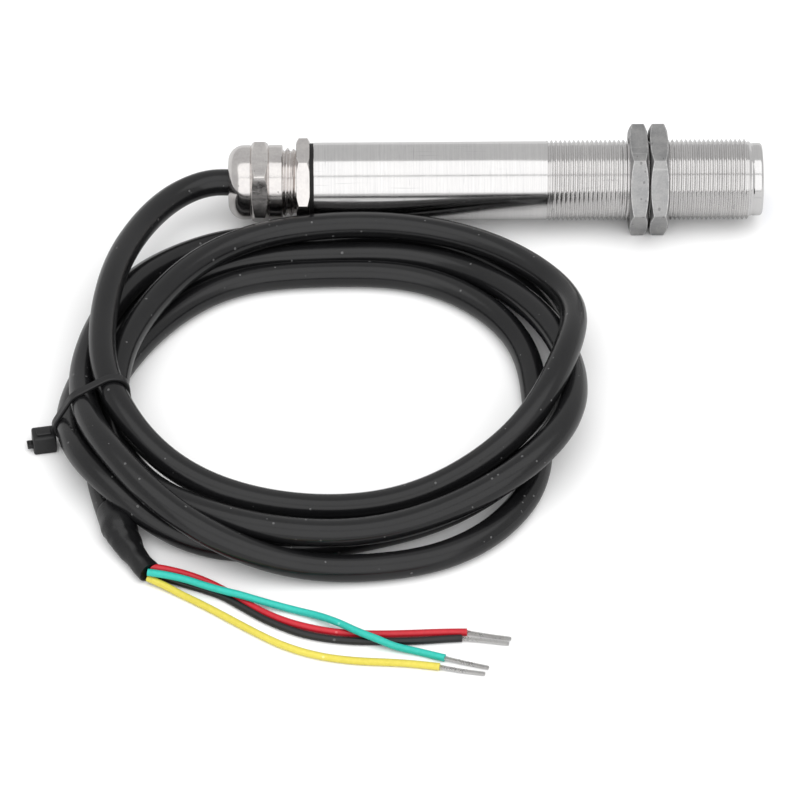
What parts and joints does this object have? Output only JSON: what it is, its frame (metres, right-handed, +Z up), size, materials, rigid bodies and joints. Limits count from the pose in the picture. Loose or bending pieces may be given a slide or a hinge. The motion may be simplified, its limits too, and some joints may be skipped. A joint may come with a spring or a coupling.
{
  "type": "proximity sensor",
  "caption": "Threaded cylindrical proximity sensor with jam nuts, a cable gland and a tied coil of black cable that ends in bare cores.",
  "frame": {"origin": "centre of the sensing face", "axes": "+X along the sensor's axis, out of the sensing face; +Z up from the surface that the nuts and the cable lie on"},
  "size_m": [0.1617, 0.1557, 0.022],
  "materials": {
    "stainless_steel": "turned and lightly brushed",
    "nut_steel": "machined, matte",
    "face_plastic": "moulded, matte",
    "ferrite": "ground",
    "bobbin_plastic": "moulded",
    "copper_wire": "enamelled winding",
    "resin": "cast",
    "film": "film",
    "board": "solder mask",
    "chip_plastic": "moulded",
    "can_metal": "drawn",
    "chip_ceramic": "sintered",
    "gasket_rubber": "moulded",
    "nickel_plate": "nickel plated, bright",
    "jacket": "extruded, satin",
    "tie_nylon": "moulded",
    "shrink_tube": "shrunk, satin",
    "core_red": "extruded, satin",
    "core_black": "extruded, satin",
    "core_teal": "extruded, satin",
    "core_yellow": "extruded, satin",
    "tinned_copper": "tinned strands"
  },
  "bodies": {
    "housing": {"barrel": "stainless_steel", "sensing_face": "face_plastic", "ferrite_core": "ferrite", "coil_bobbin": "bobbin_plastic", "sensing_coil": "copper_wire", "core_holder": "bobbin_plastic", "potting_plug": "resin", "insulating_sleeve": "film", "circuit_board": "board", "oscillator_chip": "chip_plastic", "output_transistors": "chip_plastic", "smoothing_capacitor": "can_metal", "chip_resistors": "chip_plastic", "chip_capacitors": "chip_ceramic", "gland_gasket": "gasket_rubber", "gland_body": "nickel_plate", "gland_claw": "bobbin_plastic", "gland_seal": "gasket_rubber", "cable_entry": "jacket", "cable_lead": "jacket", "cable_coil": "jacket", "cable_tie": "tie_nylon", "heat_shrink": "shrink_tube", "inner_lead_red": "core_red", "wire_red": "core_red", "tip_red": "tinned_copper", "inner_lead_black": "core_black", "wire_black": "core_black", "tip_black": "tinned_copper", "inner_lead_teal": "core_teal", "wire_teal": "core_teal", "tip_teal": "tinned_copper", "inner_lead_yellow": "core_yellow", "wire_yellow": "core_yellow", "tip_yellow": "tinned_copper"},
    "front_nut": {"front_nut": "nut_steel"},
    "rear_nut": {"rear_nut": "nut_steel"},
    "gland_cap": {"gland_cap": "nickel_plate"}
  },
  "joints": [
    {"name": "front_nut_travel", "type": "slide", "parent": "housing", "child": "front_nut", "axis": [1, 0, 0], "range_m": [-0.0002, 0.0187]},
    {"name": "rear_nut_travel", "type": "slide", "parent": "housing", "child": "rear_nut", "axis": [-1, 0, 0], "range_m": [-0.0002, 0.0178]},
    {"name": "gland_cap_slacken", "type": "slide", "parent": "housing", "child": "gland_cap", "axis": [-1, 0, 0], "range_m": [0, 0.0025]}
  ]
}
